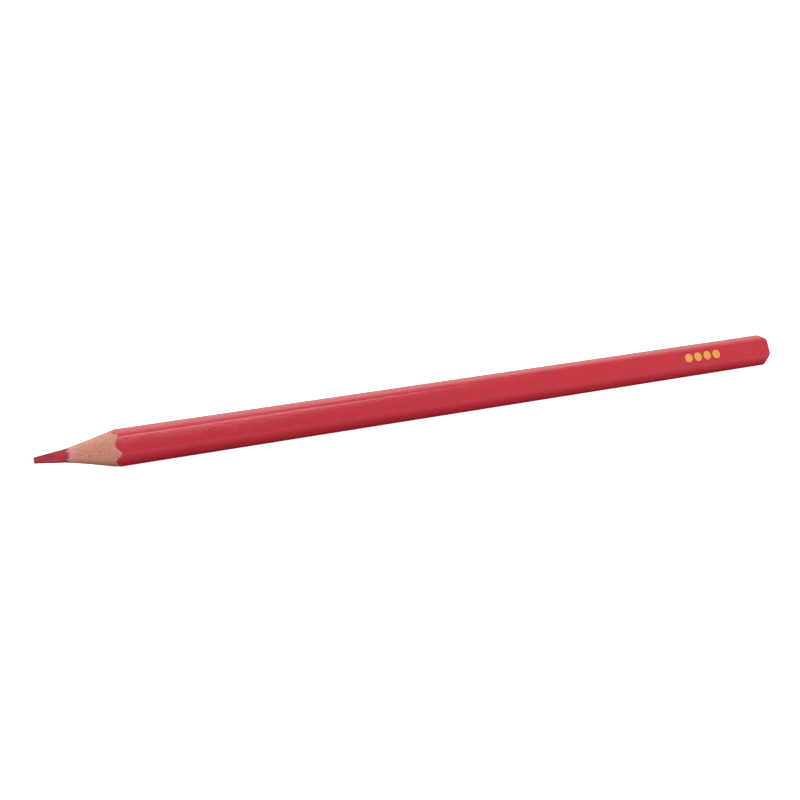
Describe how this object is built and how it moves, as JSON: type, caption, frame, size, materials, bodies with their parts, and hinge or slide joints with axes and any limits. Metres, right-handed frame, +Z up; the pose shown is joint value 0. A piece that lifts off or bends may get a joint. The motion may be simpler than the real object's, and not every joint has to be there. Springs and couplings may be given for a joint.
{
  "type": "coloured pencil",
  "caption": "Wood-cased hexagonal red coloured pencil with a hollow-ground blunt point, scalloped lacquer edge, dipped butt end and a small foil-stamped row of dots.",
  "frame": {"origin": "on the surface that the pencil lies on, under the middle of its length", "axes": "+X along the pencil from the point to the dipped end, +Y away from the viewer, +Z up; the pencil lies on one flat"},
  "size_m": [0.175, 0.0076, 0.0071],
  "materials": {
    "pigment_core": "matt waxy pigment with fine lengthwise grinding streaks",
    "glue": "dried cream glue",
    "casing_wood": "bare ground wood with fine lengthwise grain",
    "undercoat": "thin pale undercoat",
    "red_lacquer": "glossy red lacquer",
    "clear_varnish": "clear varnish that shows the red under it",
    "foil": "yellow hot-stamped foil"
  },
  "bodies": {
    "root": {"colour_core": "pigment_core", "core_glue": "glue", "seam_glue": "glue", "front_slat": "casing_wood", "back_slat": "casing_wood", "undercoat": "undercoat", "colour_lacquer": "red_lacquer", "clear_varnish": "clear_varnish", "end_dip": "red_lacquer", "foil_stamp": "foil"}
  },
  "joints": []
}
